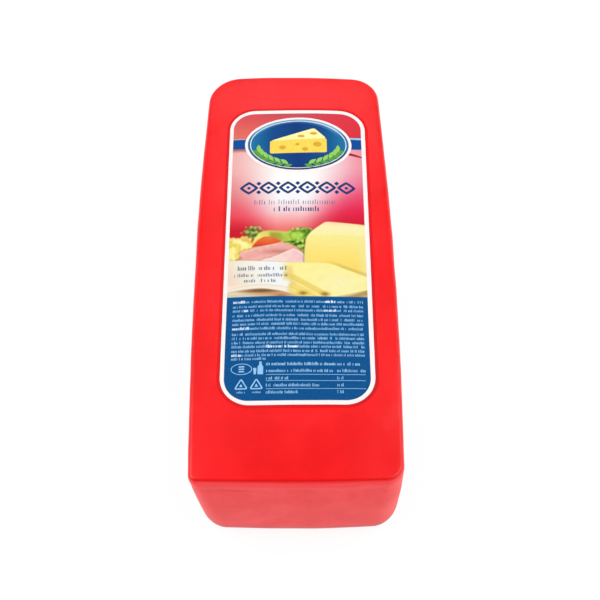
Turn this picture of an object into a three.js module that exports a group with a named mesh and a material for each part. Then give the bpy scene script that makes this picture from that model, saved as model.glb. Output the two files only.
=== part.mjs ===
// A pressed loaf of semi-hard cheese in a red coating, with a rounded label stuck to its top.
// Millimetres, +Z up. The loaf lies along Y and rests on its flat underside at z = 0.
// The origin is the middle of the loaf's footprint. The -Y end is the front.
import * as THREE from "three";

// The loaf as the mould leaves it: soft edges and corners below, a tight rim above.
const LOAF = {
  width: 120,
  length: 297,
  rimHeight: 77.3,
  crown: 3.6, // how far the middle of the top stands above the rim
  baseEdge: 12.4, // radius between the underside and the walls
  rimEdge: 2.4, // radius between the walls and the top
  baseCorner: 15.9, // upright corners where they meet the underside
  sideBow: 0.055, // share of its width that each end loses to the bowed sides
  endBow: 0.01, // share of its length that each side loses to the bowed ends
  belly: 0.009, // how much wider the walls are at half height
  lean: 2.8, // sideways shift of the underside, from pressing
  cornerEase: 1.5, // how late, going up, a corner takes its rim radius
  crownEndShare: 0.6, // share of the crown that is gone at the ends
};
// Upright corner radii at the rim. The lid of the mould squares the front left one most.
const RIM_CORNER = { frontRight: 9.6, backRight: 17.6, backLeft: 20.9, frontLeft: 4.1 };

const LABEL = {
  width: 88,
  length: 220,
  corner: 17.2,
  thickness: 0.2,
  offsetX: 1.5,
  offsetY: 6,
};
const CLEARANCE = 0.3; // between the label's underside and the loaf

const CORNER_STEPS = 7;
const END_STEPS = 8;
const SIDE_STEPS = 14;
const EDGE_STEPS = 7;
const WALL_STEPS = 6;
const TOP_RINGS = 7;
const LABEL_RINGS = 5;

// A rounded rectangle as one closed ring of points, anticlockwise from the front right corner.
// Every call gives the same number of points, so that rings can be joined one to one.
function roundedRectangle(halfWidth, halfLength, radii) {
  const corners = [
    { x: 1, y: -1, from: -Math.PI / 2, sideSteps: SIDE_STEPS },
    { x: 1, y: 1, from: 0, sideSteps: END_STEPS },
    { x: -1, y: 1, from: Math.PI / 2, sideSteps: SIDE_STEPS },
    { x: -1, y: -1, from: Math.PI, sideSteps: END_STEPS },
  ];
  const arcs = corners.map(({ x, y, from }, i) => {
    const r = radii[i];
    const centreX = x * (halfWidth - r);
    const centreY = y * (halfLength - r);
    const arc = new THREE.EllipseCurve(centreX, centreY, r, r, from, from + Math.PI / 2);
    return arc.getPoints(CORNER_STEPS);
  });
  return corners.flatMap(({ sideSteps }, i) => {
    const next = arcs[(i + 1) % corners.length];
    const side = new THREE.LineCurve(arcs[i].at(-1), next[0]).getPoints(sideSteps);
    return [...arcs[i], ...side.slice(1, -1)];
  });
}

// How far the top stands above the rim at a point, for across and along from -1 to 1.
function crownAt(across, along) {
  const end = 1 - LOAF.crownEndShare * along ** 2;
  return LOAF.crown * (1 - across ** 2) * end;
}

// Bends a point of the plain mould shape into the pressed loaf.
function pressed(x, y, z) {
  const across = x / (LOAF.width / 2);
  const along = y / (LOAF.length / 2);
  const up = z / LOAF.rimHeight;
  const swell = 1 + LOAF.belly * (1 - (2 * up - 1) ** 2);
  return new THREE.Vector3(
    x * (1 - LOAF.sideBow * along ** 2) * swell + LOAF.lean * (1 - up),
    y * (1 - LOAF.endBow * across ** 2) * swell,
    z + crownAt(across, along) * up,
  );
}

// The wall's section from the underside to the rim, as distances in from the wall and heights.
function wallSection() {
  const { baseEdge, rimEdge, rimHeight } = LOAF;
  const quarter = (i) => ((i / EDGE_STEPS) * Math.PI) / 2;
  const section = [];
  for (let i = 0; i <= EDGE_STEPS; i++) {
    const turn = quarter(i);
    section.push({ inset: baseEdge * (1 - Math.sin(turn)), z: baseEdge * (1 - Math.cos(turn)) });
  }
  for (let i = 1; i < WALL_STEPS; i++) {
    const z = THREE.MathUtils.lerp(baseEdge, rimHeight - rimEdge, i / WALL_STEPS);
    section.push({ inset: 0, z });
  }
  for (let i = 0; i <= EDGE_STEPS; i++) {
    const turn = quarter(i);
    section.push({
      inset: rimEdge * (1 - Math.cos(turn)),
      z: rimHeight - rimEdge * (1 - Math.sin(turn)),
    });
  }
  return section;
}

// The loaf's outline at one step of its section, before pressing.
function outlineAt({ inset, z }) {
  const late = (z / LOAF.rimHeight) ** LOAF.cornerEase;
  const { frontRight, backRight, backLeft, frontLeft } = RIM_CORNER;
  const radii = [frontRight, backRight, backLeft, frontLeft].map(
    (rim) => Math.max(THREE.MathUtils.lerp(LOAF.baseCorner, rim, late) - inset, 1),
  );
  return roundedRectangle(LOAF.width / 2 - inset, LOAF.length / 2 - inset, radii);
}

// A closed geometry through rings of points, with a fan from the first ring to a first point
// and from the last ring to a last point.
function skin(firstPoint, rings, lastPoint) {
  const count = rings[0].length;
  const points = [firstPoint, ...rings.flat(), lastPoint];
  const last = points.length - 1;
  const at = (ring, i) => 1 + ring * count + (i % count);
  const faces = [];
  for (let i = 0; i < count; i++) {
    faces.push(0, at(0, i + 1), at(0, i));
    for (let ring = 0; ring + 1 < rings.length; ring++) {
      faces.push(at(ring, i), at(ring, i + 1), at(ring + 1, i + 1));
      faces.push(at(ring, i), at(ring + 1, i + 1), at(ring + 1, i));
    }
    faces.push(at(rings.length - 1, i), at(rings.length - 1, i + 1), last);
  }
  const geometry = new THREE.BufferGeometry().setFromPoints(points);
  geometry.setIndex(faces);
  geometry.computeVertexNormals();
  return geometry;
}

function loafGeometry() {
  const section = wallSection();
  const rings = section.map((step) =>
    outlineAt(step).map(({ x, y }) => pressed(x, y, step.z)),
  );
  // The top is the rim's ring shrunk step by step towards the middle.
  const rim = outlineAt(section.at(-1));
  for (let i = 1; i < TOP_RINGS; i++) {
    const share = 1 - i / TOP_RINGS;
    rings.push(rim.map(({ x, y }) => pressed(x * share, y * share, LOAF.rimHeight)));
  }
  const underside = pressed(0, 0, 0);
  const summit = pressed(0, 0, LOAF.rimHeight);
  return skin(underside, rings, summit);
}

// The label follows the crown, so each of its points is lifted off the loaf's top.
function labelGeometry() {
  const { width, length, corner, thickness, offsetX, offsetY } = LABEL;
  const outline = roundedRectangle(width / 2, length / 2, Array(4).fill(corner));
  const lifted = (x, y, lift) => {
    const across = x / (LOAF.width / 2);
    const along = y / (LOAF.length / 2);
    return new THREE.Vector3(x, y, LOAF.rimHeight + crownAt(across, along) + lift);
  };
  const ring = (share, lift) =>
    outline.map(({ x, y }) => lifted(x * share + offsetX, y * share + offsetY, lift));
  const shares = Array.from({ length: LABEL_RINGS }, (_, i) => (i + 1) / LABEL_RINGS);
  const below = shares.map((share) => ring(share, CLEARANCE));
  const above = shares.map((share) => ring(share, CLEARANCE + thickness)).reverse();
  return skin(
    lifted(offsetX, offsetY, CLEARANCE),
    [...below, ...above],
    lifted(offsetX, offsetY, CLEARANCE + thickness),
  );
}

function cheeseLoaf() {
  const coating = new THREE.MeshStandardMaterial({
    color: 0xf01c24,
    roughness: 0.4,
    metalness: 0,
  });
  const mesh = new THREE.Mesh(loafGeometry(), coating);
  mesh.name = "cheese_loaf";
  return mesh;
}

function label() {
  const paper = new THREE.MeshStandardMaterial({
    color: 0xf4f2ee,
    roughness: 0.5,
    metalness: 0,
  });
  const mesh = new THREE.Mesh(labelGeometry(), paper);
  mesh.name = "label";
  return mesh;
}

// The loaf leans, so its footprint is centred by its own box.
const loaf = cheeseLoaf();
loaf.geometry.computeBoundingBox();
const middle = loaf.geometry.boundingBox.getCenter(new THREE.Vector3());

const product = new THREE.Group();
product.add(loaf, label());
product.position.set(-middle.x, -middle.y, 0);

const part = new THREE.Group();
part.add(product);
export default part;
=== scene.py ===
"""A long loaf of semi-hard cheese in a red coating, with a printed label stuck to its top.

Shapes are worked out in millimetres in the loaf's own frame: x across, y along and z up, with
x = 0 in the middle of its rim. place() turns them to the row frame's metres.
"""

import math

import bpy
import numpy as np
from mathutils import Matrix, Vector


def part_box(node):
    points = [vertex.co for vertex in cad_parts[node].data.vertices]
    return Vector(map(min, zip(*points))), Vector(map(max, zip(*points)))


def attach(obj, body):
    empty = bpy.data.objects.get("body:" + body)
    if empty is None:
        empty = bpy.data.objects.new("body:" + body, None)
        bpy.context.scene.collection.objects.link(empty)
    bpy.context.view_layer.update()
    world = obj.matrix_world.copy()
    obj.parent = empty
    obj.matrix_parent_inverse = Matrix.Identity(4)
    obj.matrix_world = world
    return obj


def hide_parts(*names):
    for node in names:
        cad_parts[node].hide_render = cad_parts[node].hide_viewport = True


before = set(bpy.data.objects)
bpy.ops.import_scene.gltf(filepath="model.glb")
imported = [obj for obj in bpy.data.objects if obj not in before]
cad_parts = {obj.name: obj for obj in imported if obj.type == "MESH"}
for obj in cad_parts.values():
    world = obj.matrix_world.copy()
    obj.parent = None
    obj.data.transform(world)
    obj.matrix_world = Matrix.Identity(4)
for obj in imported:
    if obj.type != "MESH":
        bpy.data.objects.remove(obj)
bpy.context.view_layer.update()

MM = 0.001

# The loaf, as it is built: soft edges below, a tight rim above, and a crowned top.
WIDTH = 120
LENGTH = 297
CROWN = 3.6
CROWN_END_SHARE = 0.6
BASE_EDGE = 12.4
RIM_EDGE = 2.4
BASE_CORNER = 15.9
RIM_CORNERS = (9.6, 17.6, 20.9, 4.1)  # front right, back right, back left, front left
SIDE_BOW = 0.055
END_BOW = 0.01
BELLY = 0.009
LEAN = 2.8
CORNER_EASE = 1.5
UNEVEN = 0.22  # how far the coating rises and dips over the cheese
# Points of one ring round the loaf: on each corner, along each side and across each end.
CORNER_STEPS, SIDE_STEPS, END_STEPS = 24, 150, 54
# Rings of points: in its underside, round each of its two edges, up its wall and in its top.
UNDER_RINGS, EDGE_RINGS, WALL_RINGS, TOP_RINGS = 19, 14, 70, 37

# The label: its middle, the edges and corners of its paper, and what lies on and round it.
LABEL_X, LABEL_Y = 1.5, 6.0
LABEL_WIDTH = 88.0
PAPER_X = -42.1, 45.5
PAPER_Y = -104.0, 115.3
PAPER_CORNER = 17.2
FAN = 0.014  # how far the label's right side leans out, for each millimetre along it
GLUED = 0.03  # height of the paper's underside over the coating
PAPER = 0.15  # height of its face
INK = 0.03  # height of one printed layer above the one below
SHADOW_WIDTH = 2.0  # width of the painted shadow round the paper
SHADOW_LAYER = -3  # height of the painted shadow's hoop, counted in printed layers from the paper's top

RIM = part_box("cheese_loaf")[1].z / MM - CROWN
label_low, label_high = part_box("label")
# The row frame's origin is under the middle of the loaf's box, and the label shows how far
# that is from the middle of the rim.
SHIFT_X = (label_low.x + label_high.x) / 2 / MM - LABEL_X
SHIFT_Y = (label_low.y + label_high.y) / 2 / MM - LABEL_Y


def linear(colour):
    """A six-digit sRGB hex as linear red, green, blue and alpha."""
    code = np.array([int(colour[i : i + 2], 16) for i in (0, 2, 4)]) / 255
    return (*decode(code), 1.0)


def decode(code):
    """sRGB values from 0 to 1 as linear ones: a power of 2.4 above a short straight toe."""
    return np.where(code <= 0.04045, code / 12.92, ((code + 0.055) / 1.055) ** 2.4)


def place(x, y, z):
    """Points of the loaf's own frame in millimetres, as points of the row frame in metres."""
    return np.stack([x + SHIFT_X, y + SHIFT_Y, z], -1) * MM


def waves(points, length, seed, count=16):
    """A smooth uneven height, mostly between -1.5 and 1.5: the sum of cosines that cross the
    points in random directions, each with a wavelength of 0.7 to 1.4 times the length."""
    random = np.random.default_rng(seed)
    ways = random.normal(size=(count, points.shape[-1]))
    ways /= np.linalg.norm(ways, axis=1, keepdims=True)
    ways *= 2 * np.pi / (length * random.uniform(0.7, 1.4, (count, 1)))
    starts = random.uniform(0, 2 * np.pi, count)
    return np.cos(points @ ways.T + starts).sum(-1) * math.sqrt(2 / count)


def quads(index):
    """The four-sided faces between the neighbours of a grid of point numbers."""
    corners = index[:-1, :-1], index[:-1, 1:], index[1:, 1:], index[1:, :-1]
    return np.stack(corners, -1).reshape(-1, 4)


def put(name, data):
    """A new object in the scene."""
    made = bpy.data.objects.new(name, data)
    bpy.context.scene.collection.objects.link(made)
    return made


def piece(name, points, faces, material, slot):
    """A mesh object from points in the row frame and lists of faces, riding on the one body."""
    mesh = bpy.data.meshes.new(name)
    mesh.from_pydata(points.reshape(-1, 3).tolist(), [], [f for part in faces for f in part.tolist()])
    mesh.polygons.foreach_set("use_smooth", np.ones(len(mesh.polygons), bool))
    mesh.update()
    mesh.set_sharp_from_angle(angle=math.radians(40))
    mesh.materials.append(material)
    made = put(name, mesh)
    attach(made, "root")
    return made


def skin(rings, first, last):
    """Points and faces of a closed skin: rings of points joined one to one, with a fan from a
    first point to the first ring and from the last ring to a last point."""
    count = rings.shape[1]
    index = np.arange(rings.shape[0] * count).reshape(-1, count) + 1
    index = np.concatenate([index, index[:, :1]], 1)
    end = np.full(count, rings.shape[0] * count + 1)
    points = np.concatenate([first[None], rings.reshape(-1, 3), last[None]])
    below = np.stack([np.zeros(count, int), index[0, 1:], index[0, :-1]], -1)
    above = np.stack([index[-1, :-1], index[-1, 1:], end], -1)
    return points, [below, quads(index), above]


# ---------------- the loaf


def loaf_steps():
    """Where the points of a rounded rectangle lie, from its front right corner round: the corner
    that each starts from, how far it has gone to the next one, and the way it faces."""
    corners, runs, facings = [], [], []
    arc = np.linspace(0, np.pi / 2, CORNER_STEPS, endpoint=False)
    for corner, steps in enumerate((SIDE_STEPS, END_STEPS) * 2):
        turn = (corner - 1) * np.pi / 2
        straight = np.linspace(0, 1, steps, endpoint=False)
        corners.append(np.full(CORNER_STEPS + steps, corner))
        runs.append(np.concatenate([np.zeros(CORNER_STEPS), straight]))
        facings.append(np.concatenate([turn + arc, np.full(steps, turn + np.pi / 2)]))
    return np.concatenate(corners), np.concatenate(runs), np.concatenate(facings)


def rounded_rectangles(half_x, half_y, radii):
    """One rounded rectangle for each half width, half length and row of four corner radii. A
    point is its corner's centre plus the radius along the way it faces, and on the straight
    runs it slides evenly from that to the same thing at the next corner."""
    corner, run, facing = loaf_steps()
    after = (corner + 1) % 4
    sign_x, sign_y = np.array([1, 1, -1, -1]), np.array([-1, 1, 1, -1])
    start_x = sign_x[corner] * (half_x[:, None] - radii[:, corner])
    start_y = sign_y[corner] * (half_y[:, None] - radii[:, corner])
    end_x = sign_x[after] * (half_x[:, None] - radii[:, after])
    end_y = sign_y[after] * (half_y[:, None] - radii[:, after])
    radius = (1 - run) * radii[:, corner] + run * radii[:, after]
    x = (1 - run) * start_x + run * end_x + radius * np.cos(facing)
    y = (1 - run) * start_y + run * end_y + radius * np.sin(facing)
    return x, y


def crown(x, y):
    """The top's height above the rim: greatest in the middle, less with the square of the
    distance across, and less by a share with the square of the distance along."""
    end = 1 - CROWN_END_SHARE * (2 * y / LENGTH) ** 2
    return CROWN * (1 - (2 * x / WIDTH) ** 2) * end


def unevenness(x, y, z):
    """How far the coating stands off the true shape: long low waves and fainter short ones."""
    points = np.stack([x, y, z], -1)
    return UNEVEN * (0.6 * waves(points, 62, 3) + 0.25 * waves(points, 24, 4))


def rim_groove(x, y, z):
    """How far the coating stands off below the rim: a fine groove where the mould's lid met the
    wall, a low bead under it, and at the front a short wrinkle lower down. They are bell curves
    over the height, follow a wandering line, and are deepest at the front end."""
    line = RIM - 0.6 * RIM_EDGE + 0.4 * waves(np.stack([x, y], -1), 30, 5)
    front = np.clip((-y - 125) / 15, 0, 1)
    groove = -0.08 * np.exp(-(((z - line) / 0.7) ** 2))
    bead = 0.2 * np.exp(-(((z - line + 3.2) / 2.4) ** 2))
    short = np.exp(-(((x + 32) / 9) ** 2))
    wrinkle = -0.2 * front * short * np.exp(-(((z - line + 9 + 0.05 * x) / 0.9) ** 2))
    return (0.4 + 0.6 * front) * (groove + bead) + wrinkle


def top_height(x, y):
    """Height of the loaf's top, where the label lies."""
    z = RIM + crown(x, y)
    return z + unevenness(x, y, z)


def loaf_points():
    """Rings of the whole loaf, from the middle of the underside, round the lower edge, up the
    wall, over the rim and in to the middle of the top. Each ring is a rounded rectangle, pressed:
    bowed along its sides, swollen at half height and leaning sideways below."""
    inward = np.linspace(1, 0, UNDER_RINGS + 1, endpoint=False)[:0:-1]
    top = np.linspace(1, 0, TOP_RINGS + 1, endpoint=False)[1:]
    share = np.concatenate([inward, np.ones(2 * EDGE_RINGS + WALL_RINGS), top])
    turn = np.linspace(0, np.pi / 2, EDGE_RINGS)
    bent_in, bent_up = 1 - np.sin(turn), 1 - np.cos(turn)
    # The wall's rings stand closer together towards the rim.
    wall_top = RIM - RIM_EDGE
    wall = wall_top - (wall_top - BASE_EDGE) * np.linspace(1, 0, WALL_RINGS + 2)[1:-1] ** 1.7
    inset = np.concatenate([
        np.full(UNDER_RINGS, BASE_EDGE),
        BASE_EDGE * bent_in,
        np.zeros(WALL_RINGS),
        RIM_EDGE * bent_up,
        np.full(TOP_RINGS, RIM_EDGE),
    ])
    z = np.concatenate([
        np.zeros(UNDER_RINGS),
        BASE_EDGE * bent_up,
        wall,
        RIM - RIM_EDGE * bent_in,
        np.full(TOP_RINGS, RIM),
    ])
    late = (z / RIM) ** CORNER_EASE
    radii = BASE_CORNER + (np.array(RIM_CORNERS) - BASE_CORNER) * late[:, None] - inset[:, None]
    x, y = rounded_rectangles(WIDTH / 2 - inset, LENGTH / 2 - inset, np.maximum(radii, 1))
    x, y = x * share[:, None], y * share[:, None]
    up = (z / RIM)[:, None]
    share_x, share_y = 2 * x / WIDTH, 2 * y / LENGTH
    swell = 1 + BELLY * (1 - (2 * up - 1) ** 2)
    x = x * (1 - SIDE_BOW * share_y**2) * swell + LEAN * (1 - up)
    y = y * (1 - END_BOW * share_x**2) * swell
    return x, y, z[:, None] + crown(x, y) * up, up


def outward(x, y, z):
    """Unit normals of the rings: the cross product of the ways round a ring and up to the next."""
    points = np.stack([x, y, z], -1)
    around = np.roll(points, -1, 1) - np.roll(points, 1, 1)
    upward = np.gradient(points, axis=0)
    normal = np.cross(around, upward)
    return normal / np.linalg.norm(normal, axis=-1, keepdims=True)


def cheese_loaf(material):
    """The pressed loaf, with its coating standing unevenly off it, except under its flat foot."""
    x, y, z, up = loaf_points()
    normal = outward(x, y, z)
    lifted = unevenness(x, y, z) * np.clip(z / BASE_EDGE, 0, 1) + rim_groove(x, y, z)
    x, y, z = (a + lifted * normal[..., i] for i, a in enumerate((x, y, z)))
    first = place(np.array(LEAN), np.array(0.0), np.array(0.0))
    last = place(np.array(0.0), np.array(0.0), top_height(np.array(0.0), np.array(0.0)))
    points, faces = skin(place(x, y, z), first, last)
    made = piece("coated_loaf", points, faces, material, "loaf_coating")
    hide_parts("cheese_loaf")
    return made


# ---------------- the label


def panel(left, right, bottom, top, low_corner, high_corner, columns, rows):
    """A grid over a rectangle with rounded corners: its rows crowd together in the corners, where
    each row's half width follows the corner's arc."""
    arc = np.linspace(0, np.pi / 2, 17)[:-1]
    rise, inset = 1 - np.cos(arc), 1 - np.sin(arc)
    middle = np.linspace(bottom + low_corner, top - high_corner, rows)
    low = slice(None) if low_corner else slice(0)
    high = slice(None) if high_corner else slice(0)
    y = np.concatenate([bottom + low_corner * rise[low], middle, top - high_corner * rise[::-1][high]])
    inset = np.concatenate([low_corner * inset[low], np.zeros(rows), high_corner * inset[::-1][high]])
    side = np.linspace(-1, 1, columns)
    half = (right - left) / 2 - inset
    x = (left + right) / 2 + half[:, None] * side
    return x, np.repeat(y[:, None], columns, 1)


def stuck(x, y, lift):
    """Points of the label, lifted off the loaf's top. The label went on with a slight fan: its
    right side leans out by a small share of the distance along it."""
    share = (x - LABEL_X) / LABEL_WIDTH + 0.5
    fanned = x + FAN * (y - LABEL_Y) * share
    return place(fanned, y, top_height(fanned, y) + lift)


def slab(x, y, low, high):
    """Points and faces of a thin closed sheet on the loaf's top: a grid at the height high above
    it, the same grid at the height low, and walls all round."""
    index = np.arange(x.size).reshape(x.shape)
    points = np.concatenate([stuck(x, y, lift).reshape(-1, 3) for lift in (high, low)])
    edge = np.concatenate([index[0], index[1:, -1], index[-1, -2::-1], index[-2::-1, 0]])
    walls = quads(np.stack([edge + x.size, edge]))
    return points, [quads(index), quads(index + x.size)[:, ::-1], walls]


def add(tree, kind, inputs=None, stops=(), **settings):
    """One shader node with its settings. An input is a constant or another node's output, and
    stops are a colour ramp's positions and colours."""
    made = tree.nodes.new(kind)
    for key, value in settings.items():
        setattr(made, key, value)
    for key, value in (inputs or {}).items():
        socket = made.inputs[key]
        if isinstance(value, bpy.types.NodeSocket):
            tree.links.new(value, socket)
        else:
            socket.default_value = value
    for i, (position, colour) in enumerate(stops):
        ramp = made.color_ramp.elements
        stop = ramp[i] if i < 2 else ramp.new(position)
        stop.position = position
        stop.color = colour
    return made


def surface(name, **sockets):
    """A new material and its shader, with constants set on the shader's own sockets."""
    material = bpy.data.materials.new(name)
    material.use_nodes = True
    shader = material.node_tree.nodes["Principled BSDF"]
    for key, value in sockets.items():
        shader.inputs[key.replace("_", " ")].default_value = value
    return material, material.node_tree, shader


def red_coating():
    """The red coating, a dyed plastic emulsion brushed on and dried. It is smooth and half
    glossy on top. On the walls, where the surface stands upright, it is duller and clouded. A
    deeper red on the rim's bend is painted shade, and a brighter red in a band just below it is a
    painted highlight. Low on the wall, at the foot, a darker and greyer red is painted shade."""
    material, tree, shader = surface("red_plastic_coating", IOR=1.42)
    where = add(tree, "ShaderNodeTexCoord")
    here = where.outputs["Object"]
    height = add(tree, "ShaderNodeSeparateXYZ", {"Vector": here}).outputs["Z"]
    facing = add(tree, "ShaderNodeSeparateXYZ", {"Vector": where.outputs["Normal"]}).outputs["Z"]
    level = add(tree, "ShaderNodeMath", {0: facing}, operation="ABSOLUTE").outputs["Value"]
    # Each is 0 at its first limit and 1 at its second: how upright the surface stands, and two
    # bands of height in metres.
    covers = []
    for value, start, end in ((level, 0.75, 0.15), (height, 0.018, 0.0105), (height, 0.0695, 0.0765)):
        limits = {"Value": value, "From Min": start, "From Max": end}
        covers.append(add(tree, "ShaderNodeMapRange", limits).outputs["Result"])
    # foot is the band low on the wall that gets painted shade; under_rim is the band just below the rim.
    wall, foot, under_rim = covers
    # Painted shade: a deeper red on a narrow band of the rim's bend, between flat and upright.
    bend = add(
        tree,
        "ShaderNodeValToRGB",
        {"Fac": level},
        stops=[(0.5, (0, 0, 0, 1)), (0.8, (1, 1, 1, 1)), (0.98, (0, 0, 0, 1))],
    ).outputs["Color"]
    # Painted highlight: a brighter red in a band just under the rim, on the walls only.
    highlight_band = add(tree, "ShaderNodeMath", {0: under_rim, 1: wall}, operation="MULTIPLY").outputs["Value"]
    # Clouds of 2 to 3 cm, the walls' a little drawn out upwards.
    drawn = add(tree, "ShaderNodeMapping", {"Vector": here, "Scale": (1.0, 1.0, 0.7)}).outputs["Vector"]
    clouds = add(tree, "ShaderNodeTexNoise", {"Vector": here, "Scale": 32.0, "Detail": 4.0})
    bloom = add(
        tree,
        "ShaderNodeTexNoise",
        {"Vector": drawn, "Scale": 48.0, "Detail": 6.0, "Roughness": 0.68},
    )
    top = add(
        tree,
        "ShaderNodeValToRGB",
        {"Fac": clouds.outputs["Fac"]},
        stops=[(0.36, linear("ea050b")), (0.64, linear("f81319"))],
    ).outputs["Color"]
    side = add(
        tree,
        "ShaderNodeValToRGB",
        {"Fac": bloom.outputs["Fac"]},
        stops=[(0.34, linear("ec0d13")), (0.5, linear("f3191f")), (0.66, linear("f93036"))],
    ).outputs["Color"]
    coat = top
    # Over the mottled walls: painted shade on the rim's bend and at the foot, and a painted highlight just
    # under the rim.
    layers = (wall, side), (bend, linear("da050b")), (foot, linear("d7454a")), (highlight_band, linear("ff1c22"))
    for cover, colour in layers:
        mix = add(tree, "ShaderNodeMix", {"Factor": cover, 6: coat, 7: colour}, data_type="RGBA")
        coat = mix.outputs[2]
    tree.links.new(coat, shader.inputs["Base Color"])
    gloss = add(tree, "ShaderNodeMapRange", {"Value": wall, "To Min": 0.3, "To Max": 0.46})
    tree.links.new(gloss.outputs["Result"], shader.inputs["Roughness"])
    lumps = add(tree, "ShaderNodeTexNoise", {"Vector": here, "Scale": 75.0, "Detail": 6.0})
    relief = add(
        tree,
        "ShaderNodeBump",
        {"Height": lumps.outputs["Fac"], "Strength": 0.3, "Distance": 0.001},
    )
    tree.links.new(relief.outputs["Normal"], shader.inputs["Normal"])
    return material


def mottled(name, scale, detail, thin, full, **sockets):
    """A flat finish that is a little thinner between the paper's fibres: a colour ramp between
    two close colours over a fine noise."""
    material, tree, shader = surface(name, Roughness=0.5, IOR=1.3, **sockets)
    where = add(tree, "ShaderNodeTexCoord").outputs["Object"]
    sizes = {"Vector": where, "Scale": scale, "Detail": detail}
    fibre = add(tree, "ShaderNodeTexNoise", sizes).outputs["Fac"]
    steps = [(0.3, linear(thin)), (0.7, linear(full))]
    tint = add(tree, "ShaderNodeValToRGB", {"Fac": fibre}, stops=steps).outputs["Color"]
    tree.links.new(tint, shader.inputs["Base Color"])
    return material


def label_stock():
    """Bleached label paper under a thin satin varnish, seen as a faintly rosy white beside the
    red. Its fibres are about a millimetre long."""
    return mottled("white_label_paper", 900.0, 4.0, "f1e6e4", "f8efed")


def label_paper(material):
    """The label's paper, cut with round corners and stuck down on the crowned top."""
    x, y = panel(*PAPER_X, *PAPER_Y, PAPER_CORNER, PAPER_CORNER, 45, 90)
    points, faces = slab(x, y, GLUED, PAPER)
    made = piece("label_paper", points, faces, material, "label_paper")
    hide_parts("label")
    return made


# ---------------- the print on the label

# Edges of the printed areas, and the height where one gives way to the next.
LEFT, RIGHT = -39.8, 42.9
PRINT_TOP, PRINT_FOOT = 112.4, -101.4
PRINT_CORNER = 14.0
PICTURE_TOP, PICTURE_FOOT = 22.0, -34.3
PLAQUE_X, PLAQUE_Y = 2.2, 84.5
WHITE_INK = 0.9  # the share of light that bare varnished paper sends back
FAR = 4.0  # beyond this, how far a painted shape lies away no longer matters
# The paper's middle, and how far its corners' centres lie from it.
PAPER_MIDDLE = np.array([sum(PAPER_X), sum(PAPER_Y)]) / 2
PAPER_HALF = np.array([PAPER_X[1], PAPER_Y[1]]) - PAPER_MIDDLE - PAPER_CORNER


def divided(line, spacing):
    """The same closed line with points at even distances along it."""
    line = np.concatenate([line, line[:1]])
    far = np.concatenate([[0], np.cumsum(np.linalg.norm(np.diff(line, axis=0), axis=1))])
    even = np.linspace(0, far[-1], max(int(far[-1] / spacing), 8), endpoint=False)
    return np.stack([np.interp(even, far, line[:, 0]), np.interp(even, far, line[:, 1])], -1)


def closed_outline(corners, spacing, share=0.3):
    """A closed line round given corners, with a point every so many millimetres. Each corner
    (x, y) is cut off by a share of both its sides and bridged by the parabola that touches them;
    a corner (x, y, share) has a share of its own."""
    spots = np.array([c[:2] for c in corners], float)
    shares = np.array([c[2] if len(c) > 2 else share for c in corners])[:, None]
    start = spots + shares * (np.roll(spots, 1, 0) - spots)
    end = spots + shares * (np.roll(spots, -1, 0) - spots)
    t = np.linspace(0, 1, 9)[:, None, None]
    bends = (1 - t) ** 2 * start + 2 * t * (1 - t) * spots + t**2 * end
    return divided(bends.transpose(1, 0, 2).reshape(-1, 2), spacing)


def ellipse(x, y, half_x, half_y, count=96):
    """A closed line: the points of an ellipse, anticlockwise."""
    turn = np.linspace(0, 2 * np.pi, count, endpoint=False)
    return np.stack([x + half_x * np.cos(turn), y + half_y * np.sin(turn)], -1)


def disc(outline, layer, rings=2):
    """Points and faces of a thin closed patch of ink on a layer: its outline shrunk towards its
    middle in even steps, below and above."""
    middle = outline.mean(0)
    share = np.concatenate([np.arange(1, rings + 1), np.arange(rings, 0, -1)]) / rings
    lift = PAPER + INK * np.repeat([layer - 1, layer], rings)
    spots = middle + share[:, None, None] * (outline - middle)
    patch = stuck(spots[..., 0], spots[..., 1], lift[:, None])
    return skin(patch, stuck(*middle, lift[0]), stuck(*middle, lift[-1]))


def hoop(outline, width, layer):
    """Points and faces of a thin closed line of ink: an outline, and the same one moved in by a
    width along its own inward normal, below and above."""
    way = np.roll(outline, -1, 0) - np.roll(outline, 1, 0)
    inward = np.stack([-way[:, 1], way[:, 0]], -1)
    inner = outline + width * inward / np.linalg.norm(inward, axis=1, keepdims=True)
    spots = np.stack([outline, outline, inner, inner, outline])
    lift = PAPER + INK * np.array([layer - 1, layer, layer, layer - 1, layer - 1])
    points = stuck(spots[..., 0], spots[..., 1], lift[:, None])[:4]
    index = np.arange(4 * len(outline)).reshape(4, -1)
    index = np.concatenate([index, index[:1]])
    return points.reshape(-1, 3), [quads(np.concatenate([index, index[:, :1]], 1))]


def strip(x, low, high, layer, rows=5):
    """Points and faces of a thin closed band of ink between two lines or levels over the same x."""
    up = np.linspace(0, 1, rows)[:, None]
    y = (1 - up) * low + up * high + np.zeros(len(x))
    return slab(np.repeat(x[None], rows, 0), y, PAPER + INK * (layer - 1), PAPER + INK * layer)


def together(parts):
    """Several parts' points and faces as one part's."""
    offset, points, faces = 0, [], []
    for spots, groups in parts:
        points.append(spots.reshape(-1, 3))
        faces += [group + offset for group in groups]
        offset += len(points[-1])
    return np.concatenate(points), faces


def blocks(left, right, low, high, layer):
    """Points and faces of many small upright boxes of ink at once, from arrays of their edges."""
    x = np.stack([left, right, right, left], -1)
    y = np.stack([low, low, high, high], -1)
    spots = np.stack([stuck(x, y, PAPER + INK * (layer - 1)), stuck(x, y, PAPER + INK * layer)], 1)
    sides = [(0, 1, 5, 4), (1, 2, 6, 5), (2, 3, 7, 6), (3, 0, 4, 7), (4, 5, 6, 7), (3, 2, 1, 0)]
    faces = np.arange(len(left))[:, None, None] * 8 + np.array(sides)
    return spots.reshape(-1, 3), [faces.reshape(-1, 4)]


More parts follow.
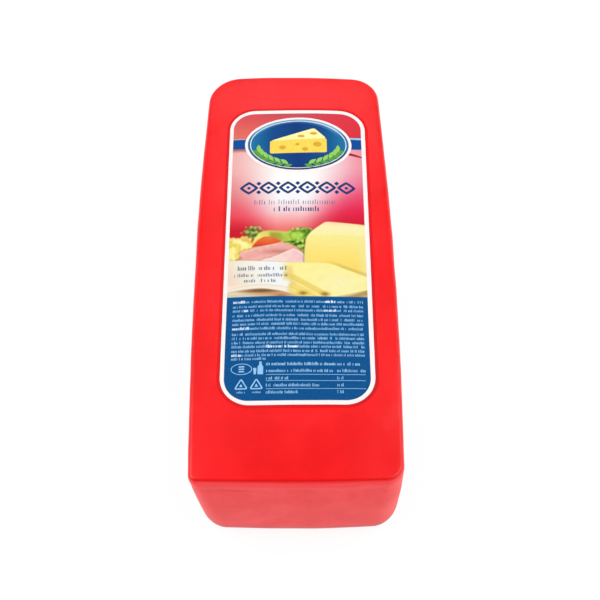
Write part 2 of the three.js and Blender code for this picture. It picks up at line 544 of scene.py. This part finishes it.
def small_print(lines, layer, seed):
    """Rows of plain upright ticks that stand for small print and say nothing. Each line is its
    left and right ends, its foot, the height of its ticks, their pitch and their thickness as a
    share of it. About one place in six is left open as a gap, and some ticks are taller."""
    random = np.random.default_rng(seed)
    parts = []
    for left, right, foot, height, pitch, thick in lines:
        x = np.arange(left, right - pitch * thick, pitch)
        kept = random.uniform(size=len(x)) > 0.16
        kept[0] = True
        x = x[kept]
        tall = 1 + 0.4 * (random.uniform(size=len(x)) > 0.72)
        wide = pitch * thick * random.uniform(0.7, 1.25, len(x))
        parts.append((x, np.minimum(x + wide, right), np.full(len(x), foot), foot + height * tall))
    return blocks(*(np.concatenate(edge) for edge in zip(*parts)), layer)


def smooth(t):
    """An even step from 0 to 1 with a soft start and end."""
    t = np.clip(t, 0, 1)
    return t * t * (3 - 2 * t)


def lay(under, colour, cover):
    """Paint over what is under it, as thick as cover says, from 0 to 1."""
    return under + (np.asarray(colour) - under) * cover[..., None]


def spot(x, y, middle_x, middle_y, half_x, half_y, power=2.0):
    """A soft round patch: 1 in its middle and less outwards, by the exponential of a power of
    the distance measured in its own half widths."""
    away = np.hypot((x - middle_x) / half_x, (y - middle_y) / half_y)
    return np.exp(-(away**power))


def along(t, *stops):
    """Colours along t: straight mixes of a list of (position, colour)."""
    positions, colours = zip(*stops)
    return np.stack([np.interp(t, positions, channel) for channel in zip(*colours)], -1)


def cloud(x, y, length, seed):
    """Smooth unevenness over the picture, about -1.5 to 1.5."""
    return waves(np.stack([x, y], -1), length, seed, 24)


def depth(corners, x, y, share=0.3):
    """How far inside a closed outline each point lies, negative outside: the distance to the
    nearest of its edges, with the side told by how often a line to the right crosses them.
    Points well outside the outline's box are left at one distance."""
    line = closed_outline(corners, 1.0, share).astype(np.float32)
    low, high = line.min(0) - FAR, line.max(0) + FAR
    close = (x > low[0]) & (x < high[0]) & (y > low[1]) & (y < high[1])
    run, rise = (np.roll(line, -1, 0) - line).T
    across = x[close].astype(np.float32)[:, None] - line[:, 0]
    up = y[close].astype(np.float32)[:, None] - line[:, 1]
    t = np.clip((across * run + up * rise) / (run**2 + rise**2), 0, 1)
    nearest = np.hypot(across - t * run, up - t * rise).min(-1)
    passed = (up < 0) != (up < rise)
    crossed = passed & (across < run * up / np.where(rise == 0, 1, rise))
    inside = np.full(x.shape, -FAR)
    inside[close] = np.where(crossed.sum(-1) % 2 == 1, nearest, -nearest)
    return inside


def red_ground(x, y):
    """The label's red ground: brick red to crimson above the ribbon, and below it a rosy wash
    that deepens downwards, bleached to white behind the middle."""
    side = smooth((x - LEFT) / (RIGHT - LEFT))
    left = along(y, (92, (232, 112, 98)), (110, (224, 82, 88)))
    right = along(y, (92, (220, 52, 64)), (110, (230, 50, 70)))
    above = lay(lay(left, right, side), (196, 84, 90), 0.8 * spot(x, y, 2, 113, 24, 7))
    left = along(y, (14, (206, 20, 40)), (25, (238, 66, 84)), (42, (230, 118, 122)), (66, (240, 164, 160)))
    right = along(y, (14, (200, 16, 38)), (28, (230, 28, 70)), (50, (236, 100, 136)), (66, (238, 130, 150)))
    below = lay(left, right, side)
    middle = np.interp(y, (20, 66), (-4, 2))
    half = np.interp(y, (14, 60), (18, 33))
    white = np.minimum(1.06 * np.exp(-((abs(x - middle) / half) ** 2.6)), 1)
    bleach = along(y, (15, (240, 120, 114)), (21, (247, 160, 160)), (28, (247, 210, 214)),
                   (38, (248, 246, 248)), (54, (253, 253, 250)))
    below = lay(below, bleach, white)
    shadow = smooth(1 - abs(y - 80.4) / 3.2) * smooth((20 - x) / 60 + 0.5)
    below = lay(below, (150, 70, 66), 0.75 * shadow)
    return lay(above, below, smooth((84 - y) / 3 + 0.5))


def salad(paint, x, y):
    """The lettuce, the sprig, the strip of pepper and the slice of tomato behind the ham."""
    frill, fold = cloud(x, y, 3.4, 21), cloud(x, y, 7, 22)
    behind = depth([(-46, 3), (-20, 6), (8, 8), (8, -12), (-46, -12)], x, y)
    paint = lay(paint, (226, 188, 150), smooth(behind / 3 + 0.5))
    sprig = 4.9 - np.hypot((x + 25.4) / 1.2, y - 12.0) + 0.8 * frill
    herb = along(frill, (-1.3, (62, 104, 30)), (0, (112, 150, 58)), (1.3, (172, 192, 110)))
    paint = lay(paint, herb, 0.92 * smooth(sprig / 2 + 0.5))
    pale = depth([(-46, 9.8), (-39, 9.4), (-35, 8), (-31, 9.6), (-27, 8.4), (-25, 2), (-30, -2),
                  (-34, -8), (-46, -9)], x, y) + 0.35 * frill
    curly = along(fold + 0.35 * frill, (-1.7, (226, 200, 88)), (-0.6, (241, 220, 104)),
                  (0.4, (251, 238, 142)), (1.6, (253, 247, 176)))
    curly = lay(curly, (250, 196, 112), 0.7 * smooth((y - 5.5) / 4))
    paint = lay(paint, (158, 34, 20), 0.6 * smooth((pale + 1.6) / 2.2))
    paint = lay(paint, curly, smooth(pale / 1.4 + 0.5))
    bunch = depth([(-7.5, 4), (-6.5, 11), (-2, 14.6), (3, 16.2), (10, 15.4), (12, 11), (9, 4),
                   (8, -8), (4, -7), (1, 1), (-4, 3)], x, y) + 0.5 * frill
    shade = along(frill + 0.5 * fold, (-1.7, (46, 92, 16)), (-0.7, (96, 142, 34)),
                  (0.4, (152, 192, 62)), (1.5, (200, 226, 112)))
    shade = lay(shade, (62, 112, 24), 0.75 * spot(x, y, 6.5, 12.4, 3, 3))
    shade = lay(shade, (150, 140, 60), 0.7 * smooth((3 - y) / 4))
    paint = lay(paint, shade, smooth(bunch / 1.6 + 0.5))
    pepper = depth([(-26.5, 1.6), (-24.8, 7.5), (-21, 12.8), (-15, 14), (-7, 12.9), (-1, 12.4),
                    (1, 7), (-5, 5), (-9, 6.4), (-14, 9), (-19, 9), (-23, 6)], x, y)
    flesh = along(x + 1.2 * fold, (-26, (248, 210, 96)), (-22, (240, 232, 118)), (-17, (224, 212, 92)),
                  (-14, (166, 160, 52)), (-9, (160, 178, 54)), (-5, (188, 208, 84)), (0, (162, 200, 64)))
    flesh = lay(flesh, (214, 218, 124), 0.6 * smooth((y - 11) / 2))
    paint = lay(paint, flesh, smooth(pepper / 1.1 + 0.5))
    curl = np.hypot((x - 1.6) / 1.15, y - 10)
    paint = lay(paint, (182, 222, 88), 0.85 * smooth((4 - curl) / 1.8))
    paint = lay(paint, (120, 168, 44), 0.6 * smooth(1 - abs(curl - 3.9) / 0.9))
    tomato = depth([(-25.8, 1.2, 0.1), (-23, 6), (-18.8, 8.6), (-13, 8.2), (-7.4, 5.6, 0.15),
                    (-11.5, 4), (-18, 2.2)], x, y)
    flesh = along(y - 0.08 * x + 0.5 * fold, (3.5, (208, 62, 34)), (6.4, (240, 90, 44)),
                  (9.6, (226, 124, 44)))
    return lay(paint, flesh, smooth(tomato / 0.9 + 0.5))


def ham(paint, x, y):
    """Two folded slices of cooked ham, the front one paler."""
    mottle = cloud(x, y, 5, 31)
    back = depth([(-34, -2.2, 0.1), (-20, 2), (-7, 4.6), (-2.5, 3), (1.8, 0.8, 0.1), (-9, -4),
                  (-20, -8.6), (-31, -8.6)], x, y)
    meat = along(y - 0.3 * x + 0.9 * mottle, (-6, (228, 176, 164)), (-1, (242, 180, 168)),
                 (2, (240, 168, 160)), (5, (240, 174, 164)), (8, (248, 196, 180)))
    meat = lay(meat, (204, 122, 114), 0.8 * spot(x, y, -9, -2.2, 9, 1.6))
    paint = lay(paint, (160, 84, 50), 0.35 * smooth((back + 1.1) / 1.6))
    paint = lay(paint, meat, smooth(back + 0.5))
    front = depth([(-22, -9.2), (-9.5, -4.4), (-0.5, 0.6, 0.2), (3, -1.4), (7, -5.5), (7, -12),
                   (-8, -12), (-22, -12)], x, y) + 0.15 * mottle
    pale = along(x + 1.2 * mottle, (-18, (243, 226, 216)), (-8, (250, 218, 208)), (-2, (249, 204, 200)),
                 (4, (246, 196, 202)))
    paint = lay(paint, (186, 110, 100), 0.4 * smooth((front + 1.2) / 1.5))
    paint = lay(paint, pale, smooth(front + 0.5))
    return lay(paint, (252, 226, 212), 0.7 * smooth(1 - abs(front - 0.9)))


def card(paint, x, y):
    """The board, and on it the curled cream card that holds the small rows, with its shadow."""
    board = along(y + 0.5 * cloud(x / 6, y, 2.4, 41), (-34.5, (206, 210, 188)), (-32, (234, 212, 174)),
                  (-28, (246, 232, 204)))
    paint = lay(paint, board, smooth((-8.6 - y) / 2))
    paint = lay(paint, (212, 152, 98), 0.9 * spot(x, y, -11, -32.2, 15, 2.4, 3))
    paint = lay(paint, (116, 80, 44), 0.95 * spot(x, y, -20, -30.2, 12, 1.5, 2.6))
    paint = lay(paint, (140, 92, 74), 0.6 * spot(x, y, -8, -33.8, 4, 1))
    sheet = depth([(-46, -7.8), (-30, -8.4), (-14, -9.6), (2, -10.4), (9, -12), (9, -36), (3, -34),
                   (-8, -30.6), (-20, -28.4), (-32, -29.4), (-46, -32)], x, y)
    tone = along(x + 0.4 * y, (-47, (244, 218, 196)), (-40, (243, 234, 214)), (-28, (247, 244, 234)),
                 (-18, (244, 247, 246)), (-4, (249, 246, 230)))
    tone = lay(tone, (249, 236, 218), 0.8 * smooth((-25 - y) / 3))
    paint = lay(paint, (180, 140, 110), 0.45 * smooth((sheet + 1) / 1.5))
    paint = lay(paint, tone, smooth(sheet / 0.9 + 0.5))
    fold = y + 26.2 + 0.0085 * (x + 20) ** 2
    return lay(paint, (214, 204, 186), 0.6 * smooth(1 - abs(fold) / 0.45) * smooth((20 - abs(x + 20)) / 3))


def cheese_block(paint, x, y):
    """A block of pale yellow cheese with soft edges, lit on its top."""
    mottle = cloud(x, y, 9, 51)
    block = depth([(5.4, -14), (5.8, 0), (6.9, 8.6), (10.6, 13.6), (19, 20.6, 0.12), (60, 17.6),
                   (60, -30), (20, -14)], x, y)
    face = along(y + 0.7 * mottle, (-13, (250, 220, 108)), (-6, (253, 226, 117)), (0, (252, 230, 129)),
                 (5, (252, 234, 140)), (9, (250, 238, 146)), (11, (251, 240, 156)))
    face = lay(face, (246, 234, 156), 0.7 * smooth((x - 36) / 6))
    face = lay(face, (236, 228, 132), 0.7 * smooth((8.6 - x) / 3))
    lid = depth([(6, 12), (10.6, 13.6), (19, 20.6, 0.12), (60, 17.6), (60, 9.6), (20, 10.6), (6, 10)], x, y)
    top = along(y + 0.3 * mottle, (11, (252, 242, 172)), (17, (253, 241, 181)), (20, (254, 220, 176)))
    face = lay(face, top, smooth(lid / 2.6 + 0.4))
    paint = lay(paint, (92, 80, 30), 0.45 * smooth((block + 1.5) / 1.8) * smooth((13 - x) / 3))
    return lay(paint, face, smooth(block / 0.9 + 0.5))


def cheese_slices(paint, x, y):
    """Three slices that lean against the block, each one's cut edge a band of deeper yellow along
    its lower left side, and fading away on the left, over the card."""
    mottle = cloud(x, y, 8, 61)
    fade = smooth((x + 7.5 + 0.12 * (y + 22) + 0.8 * mottle) / 9.5)
    foot = smooth(1 - abs(y + 9.4 + 0.4 * np.maximum(x - 20, 0)) / 1.6) * smooth((x - 16) / 14)
    paint = lay(paint, (222, 186, 84), 0.7 * foot)
    for step, tone in enumerate(((246, 224, 116), (252, 232, 138), (253, 241, 156))):
        back = 2 - step
        cut = depth([(-22 - 3 * back, -9 - 6 * back), (-22, -10.2), (20, -10.6, 0.1), (60, -27),
                        (60, -28), (44, -29), (24 - 3 * back, -34.4), (19 - 5 * back, -35),
                        (-2, -21.4 - 6.5 * back)], x, y, 0.2)
        face = lay(np.full((*x.shape, 3), tone), (252, 244, 184), 0.8 * spot(x, y, 27, -26, 13, 8))
        face = face * (1 + 0.004 * mottle[..., None])
        edge = smooth((3.4 - cut) / 1.2) * smooth((13 - x - 0.2 * y - 8 * back) / 5 + 0.5)
        edge = edge * smooth((-16 - y) / 3)
        face = lay(face, (238, 212, 100), (0.85 if step == 2 else 0.5) * edge)
        cast = smooth((cut + 0.9) / 1.2) * smooth((-12 - y) / 2)
        paint = lay(paint, (204, 160, 66), 0.6 * fade * cast)
        paint = lay(paint, np.clip(face, 0, 255), fade * smooth(cut / 0.9 + 0.5))
    for middle_x, middle_y in ((4.6, -32.2), (17.4, -32.6)):
        paint = lay(paint, (150, 98, 34), 0.85 * spot(x, y, middle_x, middle_y, 2.4, 1.3))
    table = depth([(22, -35.5), (33, -33.4), (60, -22.6), (60, -36)], x, y)
    paint = lay(paint, (176, 142, 72), 0.9 * smooth(table / 1.6 + 0.5))
    return lay(paint, (196, 176, 132), 0.8 * smooth((-31.6 - y) / 2) * smooth((x - 37) / 4))


def still_life(x, y):
    """The label's picture, painted from back to front: red ground, salad, ham, card and cheese."""
    paint = red_ground(x, y)
    for subject in (salad, ham, card, cheese_block, cheese_slices):
        paint = subject(paint, x, y)
    return paint


def flat_ink(name, shape, material):
    """A patch of print in one ink, or of bare paper, on the label."""
    return piece(name, *shape, material, "label_paper")


def printed(name, shape, paint, material):
    """A patch of print whose points carry the colour that a painter gives their place."""
    made = flat_ink(name, shape, material)
    x, y = shape[0][:, 0] / MM - SHIFT_X, shape[0][:, 1] / MM - SHIFT_Y
    shades = WHITE_INK * decode(np.clip(paint(x, y), 0, 255) / 255)
    shades = np.concatenate([shades, np.ones((len(shades), 1))], 1)
    ink = made.data.color_attributes.new(name="ink", type="FLOAT_COLOR", domain="POINT")
    ink.data.foreach_set("color", shades.astype(np.float32).ravel())


def beyond_paper(x, y):
    """How far a place lies outside the paper's rounded outline."""
    across = abs(x - PAPER_MIDDLE[0]) - PAPER_HALF[0]
    lengthwise = abs(y - PAPER_MIDDLE[1]) - PAPER_HALF[1]
    return np.hypot(np.maximum(across, 0), np.maximum(lengthwise, 0)) - PAPER_CORNER


def paper_shadow_colour(x, y):
    """Painted shadow on the coating round the paper: darkest at the paper's edge, and the coating's own red
    where it ends.
    """
    return along(beyond_paper(x, y), (0, (200, 34, 40)), (SHADOW_WIDTH, (254, 14, 21)))


def painted_paper_shadow(material):
    """Painted shadow round the paper, as a flat hoop of darker red that lies on the coating at its edge."""
    way = ellipse(0, 0, 1, 1, 120)
    line = divided(PAPER_MIDDLE + PAPER_HALF * np.sign(way) + (PAPER_CORNER + SHADOW_WIDTH) * way, 2.0)
    printed("painted_paper_shadow", hoop(line, SHADOW_WIDTH, SHADOW_LAYER), paper_shadow_colour, material)


def printed_fields(picture_ink, blue):
    """The red field, the still life and the blue field, which share the label's first layer."""
    low, high = PAPER, PAPER + INK
    red = panel(LEFT, RIGHT, PICTURE_TOP, PRINT_TOP, 0, PRINT_CORNER, 90, 84)
    printed("red_field", slab(*red, low, high), red_ground, picture_ink)
    picture = panel(LEFT, RIGHT, PICTURE_FOOT, PICTURE_TOP, 0, 0, 256, 174)
    printed("still_life", slab(*picture, low, high), still_life, picture_ink)
    foot = panel(LEFT, RIGHT, PRINT_FOOT, PICTURE_FOOT, PRINT_CORNER, 0, 60, 40)
    flat_ink("blue_field", slab(*foot, low, high), blue)


def ribbon(blue, sheen, red):
    """The ribbon that passes behind the plaque, with a sheen along its upper edge and, on the
    right, a thin red swoosh under it."""
    x = np.linspace(LEFT, RIGHT, 48)
    low = 80.8 - 1.6 * smooth((x - LEFT) / (RIGHT - LEFT)) + ((LEFT - x) / 60) ** 2
    high = 89.0 + 0.6 * smooth((x - LEFT) / (RIGHT - LEFT))
    flat_ink("ribbon", strip(x, low, high, 2), blue)
    thick = 0.5 + 1.1 * smooth((x - 10) / 25)
    flat_ink("ribbon_sheen", strip(x, high, high + thick, 2, 2), sheen)
    x = np.linspace(26, RIGHT, 16)
    middle = 77.6 - 0.012 * (x - 26) ** 2
    thick = 1.1 * np.sin(np.pi * np.clip((x - 22) / 25, 0, 1))
    flat_ink("ribbon_swoosh", strip(x, middle - thick, middle + thick, 2, 2), red)


def plaque_blue(x, y):
    """The plaque's deep blue, paler towards its two ends and along its upper edge."""
    reach = np.hypot((x - PLAQUE_X) / 32.5, (y - PLAQUE_Y) / 22.3)
    deep = along(abs(x - PLAQUE_X), (0, (4, 58, 128)), (16, (6, 74, 140)), (30, (24, 120, 170)))
    deep = lay(deep, (150, 204, 232), 0.8 * smooth((reach - 0.84) / 0.12) * smooth((y - 90) / 10))
    return lay(deep, (10, 46, 104), 0.6 * smooth((reach - 0.8) / 0.2) * smooth((84 - y) / 12))


def leaf(x, y, length, turn):
    """A closed lens-shaped outline that starts at a point and reaches a length along a turn."""
    t = np.linspace(0, 1, 9)
    side = 0.21 * length * np.sin(np.pi * t)
    run = np.concatenate([length * t, length * t[-2:0:-1]])
    rise = np.concatenate([-side, side[-2:0:-1]])
    c, s = math.cos(turn), math.sin(turn)
    return np.stack([x + c * run - s * rise, y + s * run + c * rise], -1)


def sprigs(layer, first):
    """Two sprigs that bend up from the plaque's foot to both sides: a leaf every few degrees of
    an arc, in turn outside and inside it. first chooses the outer or the inner leaves."""
    parts = []
    for side in (-1, 1):
        for step in range(first, 12, 2):
            angle = math.radians(8 + 5.4 * step)
            x = PLAQUE_X + side * 27.5 * math.sin(angle)
            y = PLAQUE_Y - 17.8 * math.cos(angle)
            lean = 0.5 if step % 2 else -0.45
            turn = angle * 0.9 + lean
            turn = turn if side > 0 else math.pi - turn
            parts.append(disc(leaf(x, y, 6.6, turn), layer))
    return together(parts)


def plaque(paint, stock, cheese, rind, hole, green, lime):
    """An oval plaque with a white rim, and on it a wedge of cheese over two leafy sprigs."""
    rim, field, line = (
        ellipse(PLAQUE_X, PLAQUE_Y, *half) for half in ((34.3, 24.0), (32.5, 22.3), (31.0, 20.9))
    )
    flat_ink("plaque_rim", disc(rim, 3, 8), stock)
    printed("plaque_field", disc(field, 4, 16), plaque_blue, paint)
    flat_ink("plaque_line", hoop(line, 0.45, 5), stock)
    top = closed_outline([(-16, 87.5), (12.5, 99), (20.5, 90)], 1.5, 0.06)
    side = closed_outline([(-16, 87.5), (20.5, 90), (20.5, 77.6), (-16, 76.4)], 1.5, 0.05)
    flat_ink("wedge_top", disc(top, 5, 4), cheese)
    flat_ink("wedge_side", disc(side, 5, 4), rind)
    holes = ((-8, 81.6, 2.2, 1.8), (1.5, 84.4, 1.5, 1.2), (6.5, 80.2, 2.0, 1.7), (14.4, 84.6, 2.7, 2.3),
             (4, 91.6, 2.3, 1.1), (12, 94.2, 2.4, 1.2))
    flat_ink("wedge_holes", together([disc(ellipse(*h, count=28), 6) for h in holes]), hole)
    flat_ink("sprig_leaves_outer", sprigs(5, 0), green)
    flat_ink("sprig_leaves_inner", sprigs(5, 1), lime)


def lozenge(x, y, half_x, half_y):
    """A closed outline of four slightly hollow sides between four points."""
    c, s = ellipse(0, 0, 1, 1, 40).T
    return np.stack([x + half_x * c * abs(c) ** 0.75, y + half_y * s * abs(s) ** 0.75], -1)


def ornament(navy):
    """A plain ornament across the label: a row of bold open lozenges, with a small one above and
    below each place where two of them meet."""
    middle_x, middle_y, pitch = 1.8, 47.6, 12.2
    parts = []
    for step in (-2.5, -1.5, -0.5, 0.5, 1.5, 2.5):
        x = middle_x + step * pitch
        parts.append(hoop(lozenge(x, middle_y, 5.9, 5.1), 1.7, 2))
        parts.append(disc(lozenge(x, middle_y, 1.3, 1.2), 2))
    for step in (-2, -1, 0, 1, 2):
        for side in (-1, 1):
            parts.append(disc(lozenge(middle_x + step * pitch, middle_y + side * 3.5, 1.5, 1.6), 2))
    flat_ink("ornament_row", together(parts), navy)


def caption_rows(navy, grey):
    """Rows of ticks where captions go: two under the ornament and three on the card."""
    flat_ink("fine_row", small_print([(-25, 26.5, 34.1, 2.7, 1.5, 0.28)], 2, 71), grey)
    flat_ink("bold_row", small_print([(-13, 16, 28.5, 2.8, 1.5, 0.5)], 2, 72), navy)
    flat_ink("card_heading", small_print([(-34, -4.5, -15.7, 2.2, 1.05, 0.6)], 2, 73), grey)
    rows = [(-36, -4, -20.4, 1.7, 1.0, 0.5), (-30, -9.5, -24.3, 1.7, 1.0, 0.5)]
    flat_ink("card_rows", small_print(rows, 2, 75), grey)


def foot_rows(pale, white):
    """The rows of small print on the blue field, and the table under them with its rules."""
    heights = [-38, -41.2, -44, -47.3, -50.3, -53.1, -56.1, -59.8, -62.5, -65.3, -67.9, -70.7, -73.3]
    rows = [(-36, 40, y - 0.8, 1.2, 0.64, 0.52) for y in heights]
    rows += [(-36, -16, -76.4, 1.2, 0.64, 0.52), (-16, 37, -79.9, 1.4, 0.74, 0.62)]
    table = ((-83.3, 22, 40), (-87.9, -3.5, 28), (-92.2, 14, 28), (-96.4, 2, 27.5))
    for y, end, value_end in table:
        rows += [(-16, end, y - 0.8, 1.3, 0.7, 0.56), (24, value_end, y - 0.8, 1.4, 0.74, 0.5)]
    rows += [(-32.3, -27.5, -96.8, 0.9, 0.7, 0.5), (-23.6, -19, -96.8, 0.9, 0.7, 0.5)]
    flat_ink("small_print", small_print(rows, 2, 74), pale)
    bold = ((-36, -28, -38), (18, 24, -38), (-29.5, -26.5, -44), (17, 24, -44), (-36, -26, -56.1),
            (-16, 2, -67.9), (-36, -30, -73.3))
    words = small_print([(*ends, y - 0.8, 1.3, 0.64, 0.7) for *ends, y in bold], 3, 76)
    flat_ink("small_print_bold", words, white)
    x = np.linspace(-16, 40, 30)
    rules = [strip(x, y - 0.14, y + 0.14, 2, 2) for y in (-85.6, -89.4, -94.3)]
    flat_ink("table_rules", together(rules), pale)


def pictograms(pale):
    """Small plain signs at the label's foot: a ring with bars, a bottle and a beaker, and two
    rounded triangles."""
    across = np.linspace(-31.6, -28.4, 4)
    bars = [strip(across, y - 0.42, y + 0.42, 2, 2) for y in (-80.5, -82, -83.5)]
    bottle = closed_outline([(-20.9, -85.4), (-17.7, -85.4), (-17.7, -80.6), (-18.6, -79.4),
                             (-18.6, -77.4), (-20, -77.4), (-20, -79.4), (-20.9, -80.6)], 0.4, 0.12)
    beaker = closed_outline([(-23.4, -81.4), (-23, -85.4), (-21.8, -85.4), (-21.5, -81.4)], 0.4, 0.1)
    triangles = [closed_outline([(x - 4.1, -94.5), (x + 4.1, -94.5), (x, -87.4)], 0.5, 0.22)
                 for x in (-30, -21.4)]
    marks = [closed_outline([(x - 1, -93), (x + 1, -93), (x, -91)], 0.5, 0.1) for x in (-30, -21.4)]
    parts = [hoop(ellipse(-30, -82, 6, 3.5, 60), 0.4, 2), *bars, disc(bottle, 2), disc(beaker, 2)]
    parts += [hoop(line, 0.75, 2) for line in triangles] + [disc(line, 2) for line in marks]
    flat_ink("pictograms", together(parts), pale)


def picture_ink():
    """Four-colour offset print under a satin varnish: each point has its painted colour, and a
    faint grain breaks it as the printed dots do. The painted shadow round the paper uses it too."""
    material, tree, shader = surface("offset_picture_ink", Roughness=0.5, IOR=1.3, Specular_IOR_Level=0.25)
    paint = add(tree, "ShaderNodeAttribute", attribute_name="ink").outputs["Color"]
    where = add(tree, "ShaderNodeTexCoord").outputs["Object"]
    dots = add(tree, "ShaderNodeTexNoise", {"Vector": where, "Scale": 1400.0, "Detail": 2.0})
    steps = [(0.3, (0.95, 0.95, 0.95, 1)), (0.7, (1, 1, 1, 1))]
    shade = add(tree, "ShaderNodeValToRGB", {"Fac": dots.outputs["Fac"]}, stops=steps)
    both = {0: paint, 1: shade.outputs["Color"]}
    broken = add(tree, "ShaderNodeVectorMath", both, operation="MULTIPLY")
    tree.links.new(broken.outputs["Vector"], shader.inputs["Base Color"])
    return material


def spot_ink(name, thin, full):
    """One flat offset ink, matt where it soaked into the paper."""
    return mottled("offset_ink_" + name, 700.0, 3.0, thin, full, Specular_IOR_Level=0.25)


def label_print(stock):
    """Everything that is printed on the label, from the fields up."""
    painted = picture_ink()
    pale = spot_ink("pale_blue", "84bae2", "98c8ec")
    navy = spot_ink("navy", "14336a", "1c3e76")
    # A painted shadow round the paper's edge, as a hoop of darker red.
    painted_paper_shadow(painted)
    printed_fields(painted, spot_ink("blue", "004882", "00528c"))
    ribbon(spot_ink("ribbon_blue", "00438a", "004c98"), pale, spot_ink("dark_red", "9c141c", "ac1a22"))
    plaque(
        painted, stock, spot_ink("pale_yellow", "f8e898", "fcf0a8"), spot_ink("yellow", "f4cc4c", "f8d65c"),
        spot_ink("ochre", "d8a030", "e0aa3c"), spot_ink("green", "4c9a34", "58a43c"),
        spot_ink("lime", "8cc450", "98cc5c"),
    )
    ornament(navy)
    caption_rows(navy, spot_ink("grey_blue", "4c5c88", "5a6a94"))
    foot_rows(pale, spot_ink("white", "cfe4f4", "dceefa"))
    pictograms(pale)


# ---------------- the studio


def white_floor():
    """White card under the loaf, wide enough to reach the horizon. It glows as if lit from below,
    a little less under the loaf, so that the loaf still shades it."""
    material, tree, shader = surface(
        "white_card",
        Roughness=0.9,
        Base_Color=linear("6c6c6c"),
        Specular_IOR_Level=0.2,
        Emission_Color=linear("ffffff"),
    )
    where = add(tree, "ShaderNodeTexCoord").outputs["Object"]
    far = add(tree, "ShaderNodeVectorMath", {0: where}, operation="LENGTH").outputs["Value"]
    glow = add(
        tree,
        "ShaderNodeMapRange",
        {"Value": far, "From Min": 0.3, "From Max": 1.2, "To Min": 0.89, "To Max": 1.1},
    )
    tree.links.new(glow.outputs["Result"], shader.inputs["Emission Strength"])
    half, level = 30.0, -0.1 * MM
    corners = [(x * half, y * half, level) for x, y in ((-1, -1), (1, -1), (1, 1), (-1, 1))]
    mesh = bpy.data.meshes.new("floor")
    mesh.from_pydata(corners, [], [(0, 1, 2, 3)])
    mesh.materials.append(material)
    put("floor", mesh)


def studio_air():
    """White surroundings up to a height of about 20 degrees, and a dark ceiling above them."""
    world = bpy.data.worlds.new("white_studio")
    bpy.context.scene.world = world
    world.use_nodes = True
    tree = world.node_tree
    way = add(tree, "ShaderNodeTexCoord").outputs["Generated"]
    height = add(tree, "ShaderNodeSeparateXYZ", {"Vector": way}).outputs["Z"]
    steps = [(0.3, (1, 1, 1, 1)), (0.62, (0.05, 0.05, 0.05, 1))]
    fade = add(tree, "ShaderNodeValToRGB", {"Fac": height}, stops=steps)
    background = tree.nodes["Background"]
    tree.links.new(fade.outputs["Color"], background.inputs["Color"])
    background.inputs["Strength"].default_value = 1.05


def direction(azimuth, elevation):
    """The way from the loaf towards an azimuth, 0 in front and 90 on the right, and an elevation."""
    a, e = math.radians(azimuth), math.radians(elevation)
    return Vector((math.sin(a) * math.cos(e), -math.cos(a) * math.cos(e), math.sin(e)))


def softbox(name, azimuth, elevation, distance, size, power):
    """A square soft light that faces the loaf."""
    lamp = bpy.data.lights.new(name, "AREA")
    lamp.shape = "SQUARE"
    lamp.size = size
    lamp.energy = power
    back = direction(azimuth, elevation)
    made = put(name, lamp)
    made.location = back * distance
    made.rotation_euler = (-back).to_track_quat("-Z", "Y").to_euler()


def camera():
    """A long lens that looks down on the loaf from its front, over a point on the rim's level."""
    back, roll = direction(-1.214, 56.99), math.radians(0.859)
    distance, aim = 553.2, (2.84, -34.67, RIM)
    data = bpy.data.cameras.new("camera")
    data.lens = 56.66
    data.sensor_width = 36
    target = Vector(place(*(np.array(float(v)) for v in aim)))
    turned = (-back).to_track_quat("-Z", "Y").to_matrix() @ Matrix.Rotation(roll, 3, "Z")
    made = put("camera", data)
    made.matrix_world = Matrix.Translation(target + back * distance * MM) @ turned.to_4x4()
    bpy.context.scene.camera = made


camera()
white_floor()
studio_air()
softbox("right_softbox", 90, 50, 1.6, 1.2, 15)
softbox("left_softbox", -90, 50, 1.6, 1.2, 15)
softbox("back_softbox", 180, 52.5, 1.6, 0.65, 2.8)
cheese_loaf(red_coating())
stock = label_stock()
label_paper(stock)
label_print(stock)

bpy.context.scene.view_settings.view_transform = "Standard"
bpy.context.view_layer.update()
